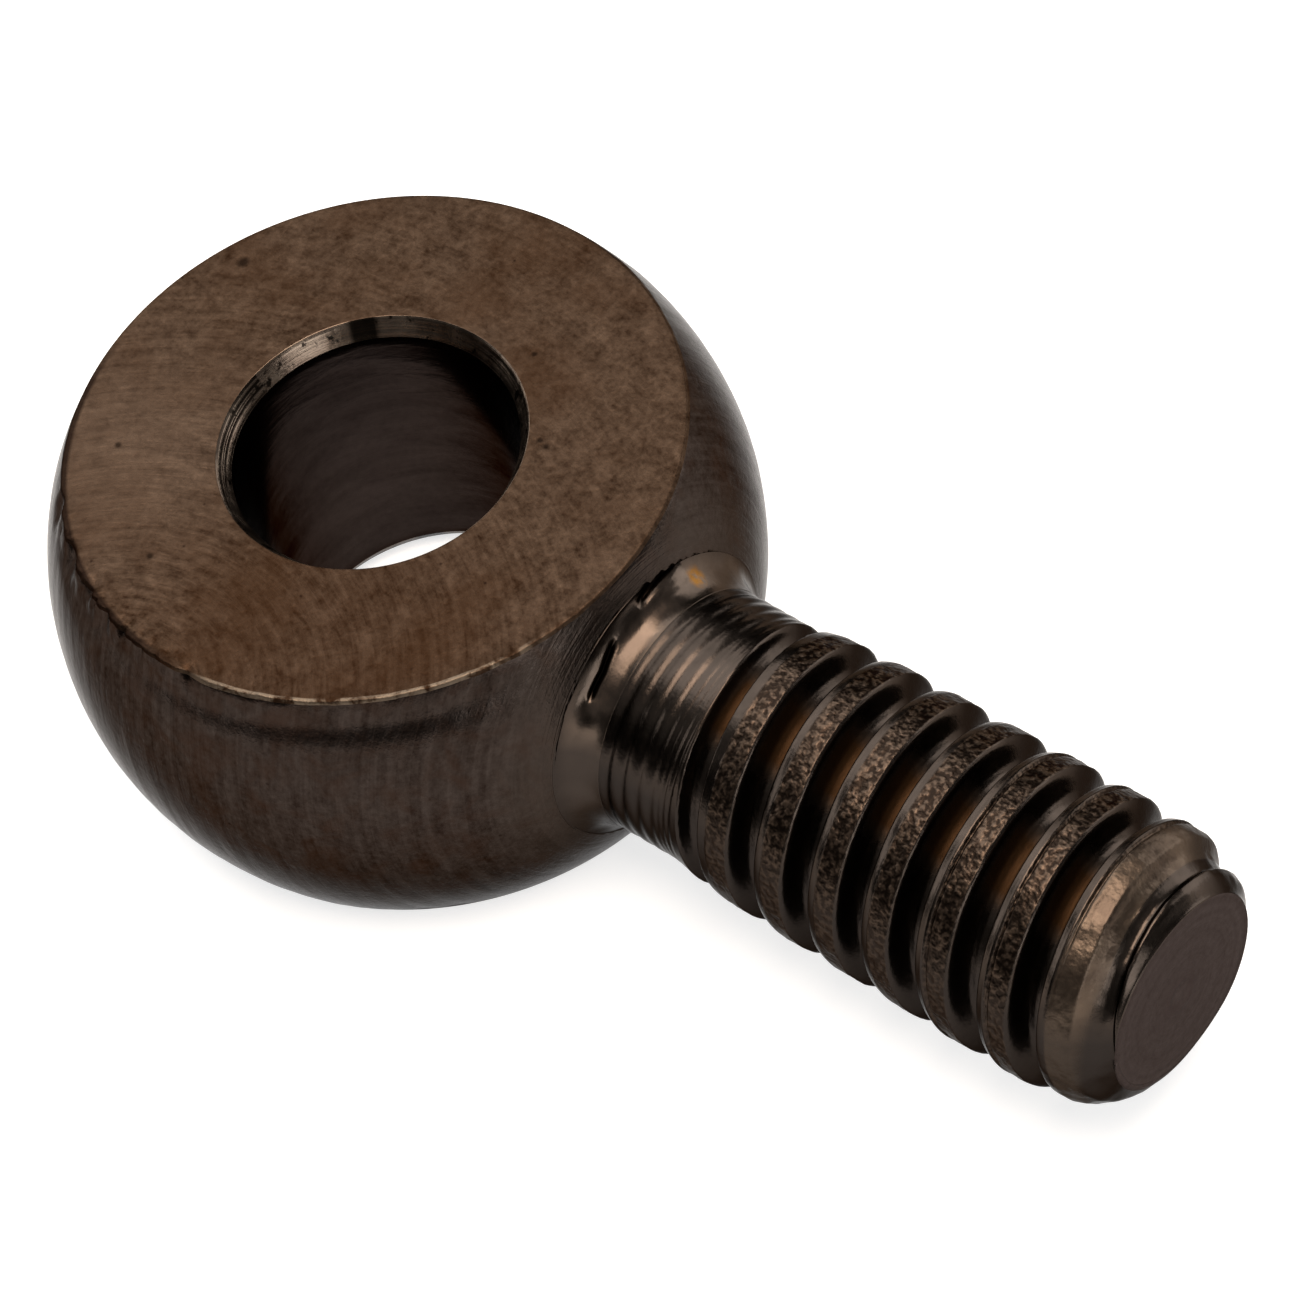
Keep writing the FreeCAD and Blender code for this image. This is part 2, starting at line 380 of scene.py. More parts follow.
def threaded_stud():
    """Spigot, neck with tool rings, thread and chamfered end, as one closed skin."""
    inner = [(SPIGOT_START, radius) for radius in (0.6, 1.2, SPIGOT)]
    inner += [(x, SPIGOT) for x in np.linspace(SPIGOT_START, SEAT, 8)[1:]]
    inner += [(SEAT, 2.0), (SEAT, NECK)]
    body_places = np.concatenate([
        np.linspace(SEAT, 5.9, 12)[1:], np.linspace(5.9, 7.5, 62)[1:], np.linspace(7.5, TIP, 410)[1:],
    ])
    angles = full_turn(STUD_COLUMNS)
    x, turn = (grid.ravel() for grid in np.meshgrid(body_places, angles, indexing="ij"))
    body_radius, crest = (part.reshape(len(body_places), STUD_COLUMNS) for part in stud_radius(x, turn))

    rings = [ring_about_x(place, radius, angles) for place, radius in inner]
    rings += [ring_about_x(place, row, angles) for place, row in zip(body_places, body_radius)]
    face = body_radius[-1].mean() - 0.01
    for radius in np.linspace(face, 0.04, FACE_RINGS):
        centre_mark = 0.010 * bell(radius, 0.31, 0.07) - 0.012 * bell(radius, 0.15, 0.08)
        worn_edge = 0.010 * smooth(face - 0.03, face, radius)
        rings.append(ring_about_x(TIP - 0.002 + centre_mark - worn_edge, radius, angles))
    rings = np.array(rings)
    slots = np.zeros(len(rings) - 1, int)
    slots[-FACE_RINGS:] = 1
    torn = np.zeros(rings.shape[:2])
    torn[len(inner):len(inner) + len(body_places)] = crest
    piece = ring_mesh("threaded_stud_metal", rings, False, slots, torn)
    face_outwards(piece)
    piece.data.materials.append(LOOKS["thread"])
    piece.data.materials.append(LOOKS["end"])
    return piece


# ---------------------------------------------------------------- braze fillet

FILLET_COLUMNS = 480
FILLET_STEPS = 56
HOLLOW = 0.70


def fillet_arc():
    """The filler's hollow outside as an arc of (x, radius): its centre, first angle and sweep."""
    toe = FILLET_HIGH[2]
    start = np.array([math.sqrt(BALL ** 2 - toe ** 2), toe])
    stop = np.array([FILLET_HIGH[0], NECK])
    middle, chord = (start + stop) / 2, stop - start
    length = np.linalg.norm(chord)
    normal = np.array([-chord[1], chord[0]]) / length
    centre = middle + normal * math.sqrt(HOLLOW ** 2 - (length / 2) ** 2)
    first = math.atan2(*(start - centre)[::-1])
    final = math.atan2(*(stop - centre)[::-1])
    return centre, first, (final - first + math.pi) % (2 * math.pi) - math.pi


def fillet_flaws(share, degrees):
    """How strong the slit, crease and beads are at a share of the arc and at angles round the stud."""
    slit_place = np.interp(degrees, (104, 118, 132), (0.33, 0.45, 0.44))
    slit = bell(share, slit_place, 0.055) * smooth(104, 109, degrees) * smooth(132, 127, degrees)
    crease_place = np.interp(degrees, (66, 88), (0.04, 0.24))
    crease = bell(share, crease_place, 0.09) * smooth(62, 68, degrees) * smooth(90, 84, degrees)
    upper_bead = bell(share, 0.42, 0.16) * bell(degrees, 69, 8)
    lower_bead = 1.6 * bell(share, 0.66, 0.2) * bell(degrees, 138, 9)
    return slit, crease, upper_bead + lower_bead


def braze_fillet():
    """The ring of filler: hollow outside, filling the coned mouth of the socket inside."""
    centre, first, sweep = fillet_arc()
    angles = full_turn(FILLET_COLUMNS)
    inside = (
        (FILLET_HIGH[0] - 0.2, NECK - 0.01), (FILLET_LOW[0] + 0.1, NECK - 0.01), (FILLET_LOW[0], NECK),
    )
    slit_and_crease_shade = np.zeros((FILLET_STEPS + 1 + len(inside), FILLET_COLUMNS))
    rings = []
    for step in range(FILLET_STEPS + 1):
        share = step / FILLET_STEPS
        turn = first + sweep * share
        inward = np.array([math.cos(turn), math.sin(turn)])
        x, radius = centre + HOLLOW * inward
        place = ring_about_x(x, radius, angles)
        skin = math.sin(math.pi * share)
        slit, crease, bead = fillet_flaws(share, np.degrees(angles))
        swell = skin * (0.012 * ripple(place, 0.9, 41) + 0.004 * ripple(place, 0.3, 42))
        swell = swell - 0.09 * slit - 0.10 * crease + 0.035 * bead
        # How strongly each point of the slit and crease is painted near-black as shade, for the shader.
        slit_and_crease_shade[step] = np.clip(1.3 * (slit + crease), 0, 1)
        rings.append(ring_about_x(x - swell * inward[0], radius - swell * inward[1], angles))
    rings += [ring_about_x(*corner, angles) for corner in inside]
    piece = ring_mesh("braze_fillet_metal", np.array(rings), True, None, slit_and_crease_shade)
    face_outwards(piece)
    piece.data.materials.append(LOOKS["filler"])
    return piece


# ---------------------------------------------------------------- materials

# A colour mix node's sockets, by number, because its other kinds of mix use the same names
MIX_FIRST, MIX_SECOND, MIX_RESULT = 6, 7, 2


class Nodes:
    """Short ways to add shader nodes to one material."""

    def __init__(self, name, edge_tint=0.42):
        self.material = bpy.data.materials.new(name)
        self.material.use_nodes = True
        self.tree = self.material.node_tree
        self.shader = self.tree.nodes["Principled BSDF"]
        self.shader.inputs["Metallic"].default_value = 1.0
        self.shader.inputs["Specular Tint"].default_value = (edge_tint, edge_tint, edge_tint, 1)
        place = self.tree.nodes.new("ShaderNodeTexCoord").outputs["Object"]
        scaled = self.tree.nodes.new("ShaderNodeVectorMath")
        scaled.operation = "SCALE"
        scaled.inputs["Scale"].default_value = 1 / MM
        self.tree.links.new(place, scaled.inputs[0])
        self.place = scaled.outputs[0]

    def link(self, source, target):
        """Feed a socket from a number or from another node's output."""
        if isinstance(source, (int, float)):
            target.default_value = source
        else:
            self.tree.links.new(source, target)

    def stretch(self, vector, scale):
        """The place, stretched: a large number packs the pattern closely along that axis."""
        node = self.tree.nodes.new("ShaderNodeVectorMath")
        node.operation = "MULTIPLY"
        self.tree.links.new(vector, node.inputs[0])
        node.inputs[1].default_value = scale
        return node.outputs[0]

    def noise(self, vector, scale, detail=3.0, rough=0.5, warp=0.0):
        """Cloudy noise in space, about 1 / scale millimetres across."""
        node = self.tree.nodes.new("ShaderNodeTexNoise")
        self.tree.links.new(vector, node.inputs["Vector"])
        node.inputs["Scale"].default_value = scale
        node.inputs["Detail"].default_value = detail
        node.inputs["Roughness"].default_value = rough
        node.inputs["Distortion"].default_value = warp
        return node.outputs["Fac"]

    def line_noise(self, value, scale, detail=3.0, rough=0.5):
        """Noise that changes only with one number: even lines."""
        node = self.tree.nodes.new("ShaderNodeTexNoise")
        node.noise_dimensions = "1D"
        self.tree.links.new(value, node.inputs["W"])
        node.inputs["Scale"].default_value = scale
        node.inputs["Detail"].default_value = detail
        node.inputs["Roughness"].default_value = rough
        return node.outputs["Fac"]

    def specks(self, vector, scale, size):
        """Small round spots, 1 in the middle of each."""
        node = self.tree.nodes.new("ShaderNodeTexVoronoi")
        self.tree.links.new(vector, node.inputs["Vector"])
        node.inputs["Scale"].default_value = scale
        return self.ramp(node.outputs["Distance"], size, 0.0)

    def value(self, name):
        """A number stored on the mesh's points."""
        node = self.tree.nodes.new("ShaderNodeAttribute")
        node.attribute_name = name
        return node.outputs["Fac"]

    def ramp(self, value, low, high, out_low=0.0, out_high=1.0):
        """value from low..high to out_low..out_high, held at both ends."""
        node = self.tree.nodes.new("ShaderNodeMapRange")
        self.tree.links.new(value, node.inputs["Value"])
        limits = (("From Min", low), ("From Max", high), ("To Min", out_low), ("To Max", out_high))
        for name, number in limits:
            node.inputs[name].default_value = number
        return node.outputs["Result"]

    def window(self, value, start, full, fade, end):
        """0 up to start, 1 from full to fade and 0 again from end on."""
        return self.times(self.ramp(value, start, full), self.ramp(value, end, fade))

    def math(self, operation, first, second):
        node = self.tree.nodes.new("ShaderNodeMath")
        node.operation = operation
        self.link(first, node.inputs[0])
        self.link(second, node.inputs[1])
        return node.outputs[0]

    def times(self, first, second):
        return self.math("MULTIPLY", first, second)

    def split(self, vector):
        """A vector's X, Y and Z."""
        node = self.tree.nodes.new("ShaderNodeSeparateXYZ")
        self.tree.links.new(vector, node.inputs[0])
        return node.outputs

    def distance(self, vector, point):
        node = self.tree.nodes.new("ShaderNodeVectorMath")
        node.operation = "DISTANCE"
        self.tree.links.new(vector, node.inputs[0])
        node.inputs[1].default_value = point
        return node.outputs["Value"]

    def off_axis(self, sides):
        """The distance from the stud's axis."""
        squares = self.math("ADD", self.times(sides["Y"], sides["Y"]), self.times(sides["Z"], sides["Z"]))
        return self.math("SQRT", squares, 0.0)

    def round_axis(self, sides):
        """The angle round the stud's axis in radians: 0 at +Y and positive towards +Z."""
        return self.math("ARCTAN2", sides["Z"], sides["Y"])

    def join(self, x, y, z):
        """A vector from three numbers or outputs."""
        node = self.tree.nodes.new("ShaderNodeCombineXYZ")
        for source, target in zip((x, y, z), node.inputs):
            self.link(source, target)
        return node.outputs[0]

    def blend(self, *parts):
        """The sum of several outputs, each times its weight."""
        total = 0.0
        for source, weight in parts:
            total = self.math("ADD", self.times(source, weight), total)
        return total

    def mix(self, share, first, second):
        """Colours first and second, mixed by share. Either may be a colour or an output."""
        node = self.tree.nodes.new("ShaderNodeMix")
        node.data_type = "RGBA"
        self.link(share, node.inputs["Factor"])
        for colour, socket in ((first, node.inputs[MIX_FIRST]), (second, node.inputs[MIX_SECOND])):
            if isinstance(colour, tuple):
                socket.default_value = (*colour, 1)
            else:
                self.tree.links.new(colour, socket)
        return node.outputs[MIX_RESULT]

    def paint(self, colour, share, weight, second):
        """Lay a second colour over the first where share is high, up to the weight."""
        return self.mix(self.times(share, weight), colour, second)

    def bump(self, height, depth, below=None):
        """Tip the normal by a height whose full range is depth millimetres."""
        node = self.tree.nodes.new("ShaderNodeBump")
        node.inputs["Strength"].default_value = 1.0
        node.inputs["Distance"].default_value = depth * MM
        self.tree.links.new(height, node.inputs["Height"])
        if below is not None:
            self.tree.links.new(below, node.inputs["Normal"])
        return node.outputs["Normal"]

    def finish(self, colour, roughness, normal):
        """Wire up the shader and give back the material."""
        self.tree.links.new(colour, self.shader.inputs["Base Color"])
        self.tree.links.new(roughness, self.shader.inputs["Roughness"])
        self.tree.links.new(normal, self.shader.inputs["Normal"])
        return self.material


def flat_metal():
    """The flats: warm mottled brown, with faint streaks in arcs about a point beyond the near side."""
    nodes = Nodes("flat_look")
    arc_x, arc_y = -0.3, -6.6
    sides = nodes.split(nodes.place)
    flattened = nodes.stretch(nodes.place, (1, 1, 0))
    arc = nodes.distance(flattened, (arc_x, arc_y, 0))
    turn = nodes.math("ARCTAN2", nodes.math("ADD", sides["Y"], -arc_y), nodes.math("ADD", sides["X"], -arc_x))
    streaks = nodes.noise(nodes.join(nodes.times(arc, 8.0), nodes.times(turn, 4.0), 0.0), 1.0, 4, 0.65, 0.3)
    streaks = nodes.times(nodes.math("SUBTRACT", streaks, 0.5), nodes.ramp(arc, 9.5, 5.0, 0.3, 1.0))
    grain = nodes.noise(nodes.place, 8.0, 4, 0.75)
    mottle = nodes.noise(nodes.place, 2.6, 4, 0.65, 0.4)
    blotch = nodes.noise(nodes.place, 0.5, 3, 0.55)
    tone = nodes.math("ADD", nodes.blend((grain, 0.34), (mottle, 0.32), (streaks, 0.42)), 0.17)
    colour = nodes.mix(nodes.ramp(tone, 0.38, 0.62), (0.0115, 0.0058, 0.0031), (0.0575, 0.0365, 0.0238))

    # Larger areas: redder on the near right and in blotches, creamier on the near left
    near_right = nodes.ramp(nodes.distance(nodes.place, (2.2, -3.6, 3.0)), 4.0, 1.0)
    colour = nodes.paint(colour, near_right, 0.45, (0.0190, 0.0082, 0.0036))
    colour = nodes.paint(colour, nodes.ramp(blotch, 0.44, 0.66), 0.45, (0.0230, 0.0105, 0.0048))
    near_left = nodes.ramp(nodes.distance(nodes.place, (-3.6, -2.6, 3.0)), 3.2, 0.8)
    colour = nodes.paint(colour, near_left, 0.35, (0.0700, 0.0470, 0.0330))
    colour = nodes.mix(nodes.specks(nodes.place, 1.5, 0.055), colour, (0.006, 0.003, 0.002))

    # The rim: a thin bright broken line on the near right, which is a painted highlight, and a dark ragged
    # edge on the near left, which is painted shade under the chips
    wide = nodes.distance(flattened, (0, 0, 0))
    rim_highlight = nodes.times(nodes.ramp(wide, 5.12, 5.14), nodes.ramp(mottle, 0.40, 0.52))
    rim_highlight_side = nodes.times(nodes.ramp(sides["X"], 0.2, 1.2), nodes.ramp(sides["Y"], -1.4, -2.2))
    colour = nodes.paint(colour, rim_highlight, rim_highlight_side, (0.105, 0.080, 0.058))
    chip_shade_side = nodes.times(nodes.ramp(sides["X"], 0.6, -0.6), nodes.ramp(sides["Y"], -0.6, -1.6))
    chip_shade = nodes.times(nodes.ramp(wide, 5.06, 5.12), chip_shade_side)
    colour = nodes.paint(colour, chip_shade, 0.85, (0.007, 0.004, 0.003))

    for (x, y, z, _, _), reach in zip(FLAT_PITS, PIT_STAINS):
        pit = nodes.ramp(nodes.distance(nodes.place, (x, y, z)), reach, reach * 0.4)
        colour = nodes.paint(colour, pit, 0.8, (0.005, 0.003, 0.002))
    rough = nodes.ramp(tone, 0.3, 0.7, 0.55, 0.40)
    normal = nodes.bump(grain, 0.012)
    normal = nodes.bump(streaks, 0.012, normal)
    return nodes.finish(colour, rough, normal)


def ball_metal():
    """The turned ball: grey-brown satin, with lathe rings about the stud's axis and brown mottling."""
    nodes = Nodes("ball_look", 0.45)
    sides = nodes.split(nodes.place)
    out = nodes.off_axis(sides)
    ring = nodes.math("ADD", sides["X"], nodes.times(out, -0.35))
    lines = nodes.line_noise(ring, 5.0, 5, 0.7)
    fine_lines = nodes.line_noise(ring, 26.0, 2, 0.6)
    broken = nodes.noise(nodes.stretch(nodes.place, (4.0, 0.8, 0.8)), 1.6, 4, 0.65, 0.3)
    grain = nodes.noise(nodes.place, 8.0, 4, 0.75)
    mottle = nodes.noise(nodes.place, 1.3, 4, 0.65, 0.5)
    pits = nodes.specks(nodes.place, 1.2, 0.05)
    near_neck = nodes.times(nodes.ramp(out, 3.7, 2.7), nodes.ramp(sides["X"], 4.2, 5.0))
    tone = nodes.blend((lines, 0.25), (broken, 0.35), (grain, 0.40))
    colour = nodes.mix(nodes.ramp(tone, 0.36, 0.64), (0.0120, 0.0078, 0.0060), (0.0370, 0.0285, 0.0243))
    colour = nodes.mix(nodes.ramp(mottle, 0.46, 0.66, 0, 0.5), colour, (0.0220, 0.0112, 0.0070))
    colour = nodes.paint(colour, near_neck, 0.5, (0.0400, 0.0315, 0.0262))
    colour = nodes.mix(pits, colour, (0.006, 0.003, 0.002))
    rough = nodes.blend((nodes.ramp(tone, 0.3, 0.7, 0.27, 0.17), 1.0), (near_neck, -0.02))
    normal = nodes.bump(grain, 0.008)
    normal = nodes.bump(broken, 0.010, normal)
    normal = nodes.bump(lines, 0.006, normal)
    normal = nodes.bump(nodes.times(fine_lines, near_neck), 0.006, normal)
    return nodes.finish(colour, rough, normal)


def bore_metal():
    """The bore's wall: smooth, with faint uneven tool marks."""
    nodes = Nodes("bore_look")
    lines = nodes.noise(nodes.stretch(nodes.place, (0.25, 0.25, 1)), 2.6, 5, 0.6, 0.4)
    grain = nodes.noise(nodes.place, 9.0, 4, 0.6)
    tone = nodes.math("ADD", nodes.times(lines, 0.7), nodes.times(grain, 0.3))
    colour = nodes.mix(nodes.ramp(tone, 0.35, 0.65), (0.0165, 0.0120, 0.0106), (0.0275, 0.0205, 0.0182))
    rough = nodes.ramp(tone, 0.3, 0.7, 0.22, 0.14)
    normal = nodes.bump(lines, 0.010)
    return nodes.finish(colour, rough, normal)


def chamfer_metal():
    """The bore's chamfer: a base colour far paler than the steel's, partly bright cut metal and partly a
    painted reflection, with dark chips, a dull patch and a left side darkened as painted shade.
    """
    nodes = Nodes("chamfer_look")
    sides = nodes.split(nodes.place)
    lines = nodes.line_noise(sides["Z"], 14.0, 3, 0.6)
    grain = nodes.noise(nodes.place, 2.2, 4, 0.6)
    around = nodes.math("ARCTAN2", sides["Y"], sides["X"])
    patch = nodes.window(around, 2.24, 2.28, 2.43, 2.47)
    # The left side is darkened as painted shade.
    left = nodes.times(nodes.ramp(around, -2.2, -2.5), nodes.ramp(lines, 0.58, 0.44))
    chips = nodes.ramp(nodes.noise(nodes.place, 5.0, 3, 0.6), 0.60, 0.66)
    dull = nodes.math("MAXIMUM", nodes.math("MAXIMUM", patch, left), chips)
    # The pale base colour is partly the bright cut metal and partly a painted reflection.
    colour = nodes.mix(nodes.ramp(grain, 0.35, 0.65), (0.110, 0.080, 0.060), (0.190, 0.145, 0.110))
    colour = nodes.paint(colour, dull, 0.92, (0.004, 0.003, 0.0022))
    rough = nodes.ramp(grain, 0.3, 0.7, 0.20, 0.30)
    normal = nodes.bump(lines, 0.008)
    normal = nodes.bump(grain, 0.012, normal)
    return nodes.finish(colour, rough, normal)


def thread_metal():
    """The stud: burnished neck and flanks and torn, speckled crests, with a painted warm reflection and
    painted shade in the upper front roots, painted shade on its other sides and a partly painted highlight on
    the tip band.
    """
    nodes = Nodes("thread_look")
    sides = nodes.split(nodes.place)
    radius = nodes.off_axis(sides)
    around = nodes.round_axis(sides)
    grain = nodes.noise(nodes.place, 11.0, 4, 0.65)
    blotch = nodes.noise(nodes.place, 1.6, 3, 0.6)
    speckle = nodes.noise(nodes.place, 11.0, 1, 0.5)
    crest = nodes.value("torn")
    at_end = nodes.ramp(sides["X"], 14.65, 14.85)
    # under is every side but the upper front; the colours below are painted darker there as shade.
    under = nodes.math("MAXIMUM", nodes.ramp(around, 2.45, 2.80), nodes.ramp(around, 1.05, 0.70))
    in_root = nodes.times(nodes.ramp(radius, 2.26, 2.14), nodes.window(sides["X"], 7.45, 7.65, 14.8, 15.1))
    # Painted reflection and shade: the roots are tinted a dark warm brown only on the upper front, where the
    # top lamp's reflection falls.
    painted_root_reflection = nodes.times(in_root, nodes.window(around, 1.30, 1.55, 2.00, 2.20))

    colour = nodes.mix(nodes.ramp(blotch, 0.35, 0.65), (0.031, 0.0240, 0.0195), (0.045, 0.0345, 0.0280))
    colour = nodes.mix(under, colour, (0.0215, 0.0178, 0.0158))
    colour = nodes.mix(painted_root_reflection, colour, (0.0200, 0.0100, 0.0046))
    torn = nodes.mix(nodes.ramp(speckle, 0.44, 0.64), (0.0140, 0.0095, 0.0070), (0.062, 0.043, 0.031))
    torn = nodes.paint(torn, under, 0.7, (0.0235, 0.0185, 0.0158))
    # The tip band is paler, partly its hammered metal and partly a painted highlight, and it is painted
    # darker underneath as shade.
    end = nodes.mix(nodes.ramp(blotch, 0.35, 0.65), (0.050, 0.036, 0.027), (0.085, 0.062, 0.045))
    end = nodes.paint(end, under, 0.8, (0.0280, 0.0225, 0.0190))
    colour = nodes.mix(crest, colour, nodes.mix(at_end, torn, end))

    polish = nodes.ramp(grain, 0.3, 0.7, 0.17, 0.25)
    rough = nodes.blend((polish, 1.0), (crest, 0.14), (painted_root_reflection, 0.30))
    tearing = nodes.times(nodes.times(speckle, crest), nodes.ramp(at_end, 0, 1, 1.0, 0.3))
    normal = nodes.bump(tearing, 0.018)
    normal = nodes.bump(grain, 0.004, normal)
    return nodes.finish(colour, rough, normal)


def end_metal():
    """The stud's end face: dull grey, with faint facing rings and a mark at its centre."""
    nodes = Nodes("end_look")
    ring = nodes.distance(nodes.stretch(nodes.place, (0, 1, 1)), (0, 0, 0))
    lines = nodes.line_noise(ring, 5.0, 4, 0.6)
    grain = nodes.noise(nodes.place, 8.0, 5, 0.7)
    centre_mark = nodes.window(ring, 0.12, 0.26, 0.30, 0.46)
    tone = nodes.math("ADD", nodes.times(lines, 0.4), nodes.times(grain, 0.6))
    colour = nodes.mix(nodes.ramp(tone, 0.35, 0.65), (0.039, 0.030, 0.0275), (0.054, 0.043, 0.040))
    colour = nodes.paint(colour, centre_mark, 0.45, (0.036, 0.027, 0.025))
    rough = nodes.ramp(tone, 0.3, 0.7, 0.55, 0.42)
    normal = nodes.bump(grain, 0.004)
    normal = nodes.bump(lines, 0.006, normal)
    return nodes.finish(colour, rough, normal)


def filler_metal():
    """The filler: paler than the steel, partly its own tone and partly a painted highlight, with painted
    shade at its toe, underneath and in its slit and crease, and a brassy fleck.
    """
    nodes = Nodes("filler_look")
    sides = nodes.split(nodes.place)
    around = nodes.round_axis(sides)
    grain = nodes.noise(nodes.place, 6.0, 4, 0.6)
    blotch = nodes.noise(nodes.place, 1.3, 3, 0.5)
    fleck = nodes.ramp(nodes.distance(nodes.place, (5.66, 1.24, 1.95)), 0.24, 0.12)
    toe = nodes.ramp(nodes.off_axis(sides), 2.36, 2.56)
    under = nodes.math("MAXIMUM", nodes.ramp(around, 2.50, 2.70), nodes.ramp(around, 0.0, -0.2))
    # The base is paler than the steel, partly its own tone and partly a painted highlight.
    colour = nodes.mix(nodes.ramp(blotch, 0.35, 0.65), (0.050, 0.0375, 0.0295), (0.078, 0.0585, 0.0455))
    colour = nodes.paint(colour, fleck, nodes.ramp(grain, 0.35, 0.55), (0.115, 0.054, 0.014))
    # Painted shade: the toe, in the crease against the ball, and the underside are painted darker.
    colour = nodes.paint(colour, toe, 0.8, (0.034, 0.0265, 0.0220))
    colour = nodes.paint(colour, under, 0.85, (0.0290, 0.0235, 0.0205))
    # Painted shade: the slit and crease, read from the points' torn numbers, are painted near-black.
    colour = nodes.mix(nodes.value("torn"), colour, (0.003, 0.002, 0.0015))
    rough = nodes.ramp(grain, 0.3, 0.7, 0.17, 0.27)
    normal = nodes.bump(grain, 0.004)
    return nodes.finish(colour, rough, normal)


# ---------------------------------------------------------------- studio

# Lamps as (name, azimuth, elevation, width, height, radiance, colour), in degrees and metres. The
# radiance is relative to a white floor's 1.
LAMPS = (
    ("top", 100, 83, 0.23, 0.23, 9.5, (1.0, 0.86, 0.74)),
    ("back", -113, 48, 0.28, 0.26, 2.9, (1, 1, 1)),
    ("side", -62, 20, 0.10, 0.12, 3.0, (1, 1, 1)),
    ("end", 76, 14, 0.16, 0.09, 4.0, (1, 1, 1)),
    ("left", -100, 12, 0.30, 0.16, 3.0, (1, 1, 1)),
    ("rear", 165, 14, 0.30, 0.16, 3.0, (1, 1, 1)),
)
LAMP_REACH = 0.30

# How bright the room looks to the metal at each height, as (sine of the height, brightness): over
# the ball's side of the floor, at -X, and over the tip's side, at +X
BALL_SIDE = ((0.0, 0.01), (0.05, 0.02), (0.16, 0.03), (0.52, 0.03), (0.66, 0.36), (1.0, 0.36))
TIP_SIDE = (
    (0.0, 0.01), (0.05, 0.01), (0.06, 0.80), (0.12, 0.60), (0.17, 0.12), (0.50, 0.12), (0.64, 0.36),
    (1.0, 0.36),
)
SIDE_BLEND = 0.2
BACKDROP = 0.95

FLOOR_SIZE = 3.0
FLOOR_GREY = 0.45
FLOOR_GLOW = 0.72

# The camera: distances in ball radii, angles in degrees, and the lens in millimetres
CAMERA_TARGET = (0.8137, 0.0822, 0.0452)
CAMERA_DISTANCE = 14.901
CAMERA_AZIMUTH = 52.083
CAMERA_ELEVATION = 52.769
CAMERA_ROLL = -15.927
CAMERA_LENS = 152.78


def point_at(thing, place, target, roll=0.0):
    """Put a camera or lamp at a place, looking at the target, turned about its line of sight."""
    aim = (Vector(target) - Vector(place)).to_track_quat("-Z", "Y").to_matrix().to_4x4()
    thing.matrix_world = Matrix.Translation(place) @ aim @ Matrix.Rotation(roll, 4, "Z")


def direction(azimuth, elevation):
    """The unit vector towards a place seen at that azimuth and elevation, in degrees."""
    a, e = math.radians(azimuth), math.radians(elevation)
    return Vector((math.sin(a) * math.cos(e), -math.cos(a) * math.cos(e), math.sin(e)))


def softbox(name, azimuth, elevation, width, height, radiance, colour):
    """A rectangular lamp facing the object."""
    lamp = bpy.data.lights.new(name, "AREA")
    lamp.shape = "RECTANGLE"
    lamp.size = width
    lamp.size_y = height
    lamp.energy = radiance * math.pi * width * height
    lamp.color = colour
    holder = bpy.data.objects.new(name, lamp)
    bpy.context.scene.collection.objects.link(holder)
    middle = Vector([(low + high) / 2 for low, high in zip(*CAD_BOX)])
    point_at(holder, middle + direction(azimuth, elevation) * LAMP_REACH, middle)


def studio_floor():
    """A pale floor under the object, far larger than the view, that glows so that it stays white."""
    size = FLOOR_SIZE
    level = CAD_BOX[0][2]
    mesh = bpy.data.meshes.new("floor")
    corners = [(x, y, level) for x, y in ((-size, -size), (size, -size), (size, size), (-size, size))]
    mesh.from_pydata(corners, [], [(0, 1, 2, 3)])
    floor = bpy.data.objects.new("floor", mesh)
    bpy.context.scene.collection.objects.link(floor)
    paper = bpy.data.materials.new("paper")
    paper.use_nodes = True
    shader = paper.node_tree.nodes["Principled BSDF"]
    shader.inputs["Base Color"].default_value = (FLOOR_GREY, FLOOR_GREY, FLOOR_GREY, 1)
    shader.inputs["Roughness"].default_value = 0.9
    shader.inputs["Specular IOR Level"].default_value = 0.1
    shader.inputs["Emission Color"].default_value = (1, 1, 1, 1)
    shader.inputs["Emission Strength"].default_value = FLOOR_GLOW
    mesh.materials.append(paper)


def grey_by_height(tree, height, stops):
    """A colour ramp from stops of (sine of the height, brightness)."""
    node = tree.nodes.new("ShaderNodeValToRGB")
    tree.links.new(height, node.inputs[0])
    elements = node.color_ramp.elements
    elements[0].position = stops[0][0]
    elements[1].position = stops[-1][0]
    for position, _ in stops[1:-1]:
        elements.new(position)
    for element, (_, grey) in zip(elements, stops):
        element.color = (grey, grey, grey, 1)
    return node.outputs[0]


def colour_mix(tree, share, first, second):
    """Two colours mixed by share, each an output or a colour."""
    node = tree.nodes.new("ShaderNodeMix")
    node.data_type = "RGBA"
    tree.links.new(share, node.inputs["Factor"])
    for colour, socket in ((first, node.inputs[MIX_FIRST]), (second, node.inputs[MIX_SECOND])):
        if isinstance(colour, tuple):
            socket.default_value = colour
        else:
            tree.links.new(colour, socket)
    return node.outputs[MIX_RESULT]


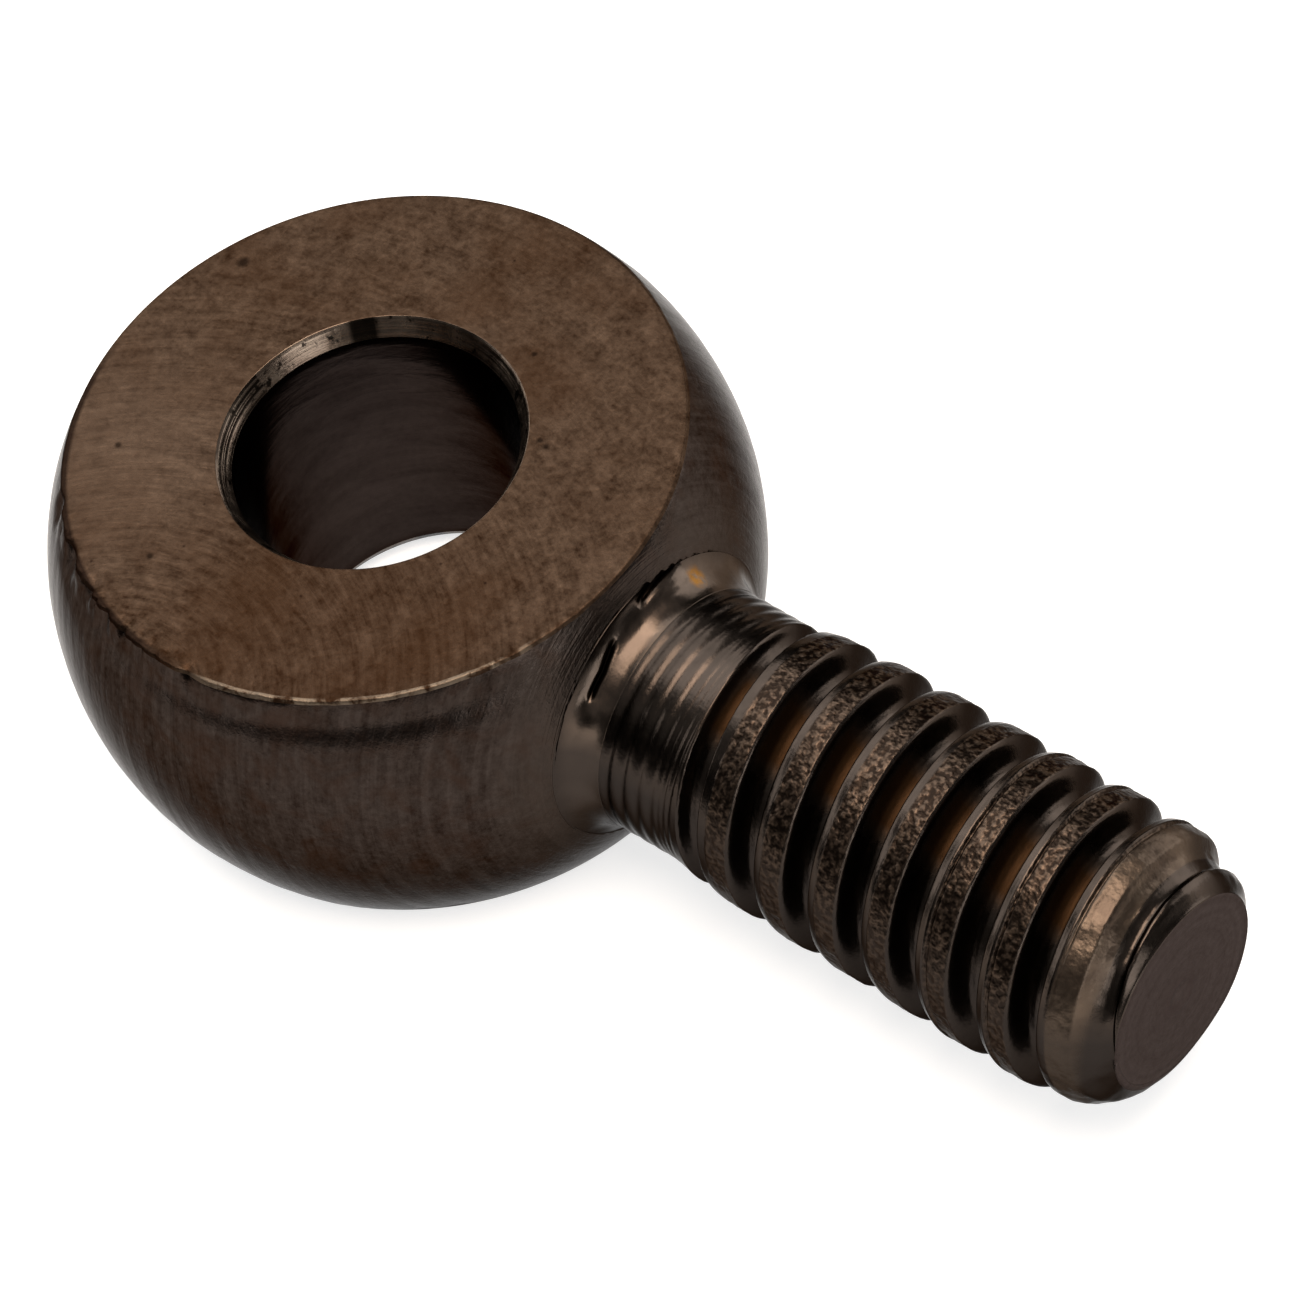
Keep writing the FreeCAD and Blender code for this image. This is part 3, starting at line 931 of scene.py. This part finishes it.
def studio_air():
    """The room, for the metal to reflect: dark walls under a paler ceiling.

    Beyond the tip there is also a bright strip just over the floor. The camera itself sees an even
    white backdrop.
    """
    world = bpy.data.worlds.new("studio")
    bpy.context.scene.world = world
    world.use_nodes = True
    tree = world.node_tree
    air = tree.nodes["Background"]
    way = tree.nodes.new("ShaderNodeSeparateXYZ")
    tree.links.new(tree.nodes.new("ShaderNodeTexCoord").outputs["Generated"], way.inputs[0])
    ball_side = grey_by_height(tree, way.outputs["Z"], BALL_SIDE)
    tip_side = grey_by_height(tree, way.outputs["Z"], TIP_SIDE)
    towards_tip = tree.nodes.new("ShaderNodeMapRange")
    towards_tip.inputs["From Min"].default_value = -SIDE_BLEND
    towards_tip.inputs["From Max"].default_value = SIDE_BLEND
    tree.links.new(way.outputs["X"], towards_tip.inputs["Value"])
    room = colour_mix(tree, towards_tip.outputs["Result"], ball_side, tip_side)
    seen = tree.nodes.new("ShaderNodeLightPath").outputs["Is Camera Ray"]
    shown = colour_mix(tree, seen, room, (BACKDROP, BACKDROP, BACKDROP, 1))
    tree.links.new(shown, air.inputs["Color"])
    air.inputs["Strength"].default_value = 1.0


def camera():
    """A long lens close above the object, leaning so that the stud runs down to the right."""
    ball = BALL * MM
    target = Vector(CAMERA_TARGET) * ball
    data = bpy.data.cameras.new("camera")
    data.sensor_width = 36
    data.lens = CAMERA_LENS
    data.clip_start = 0.005
    data.clip_end = 20
    holder = bpy.data.objects.new("camera", data)
    bpy.context.scene.collection.objects.link(holder)
    place = target + direction(CAMERA_AZIMUTH, CAMERA_ELEVATION) * (CAMERA_DISTANCE * ball)
    point_at(holder, place, target, math.radians(CAMERA_ROLL))
    bpy.context.scene.camera = holder


# ---------------------------------------------------------------- scene

LOOKS = {
    "bore": bore_metal(), "chamfer": chamfer_metal(), "flat": flat_metal(), "ball": ball_metal(),
    "thread": thread_metal(), "end": end_metal(), "filler": filler_metal(),
}

PIECES = (
    (eye_head, "eye_head", "ball_metal"),
    (threaded_stud, "threaded_stud", "stud_metal"),
    (braze_fillet, "braze_fillet", "filler_metal"),
)
for build, node, slot in PIECES:
    piece = build()
    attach(piece, "root")
    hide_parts(node)

studio_floor()
studio_air()
for lamp in LAMPS:
    softbox(*lamp)
camera()
bpy.context.scene.view_settings.view_transform = "Standard"
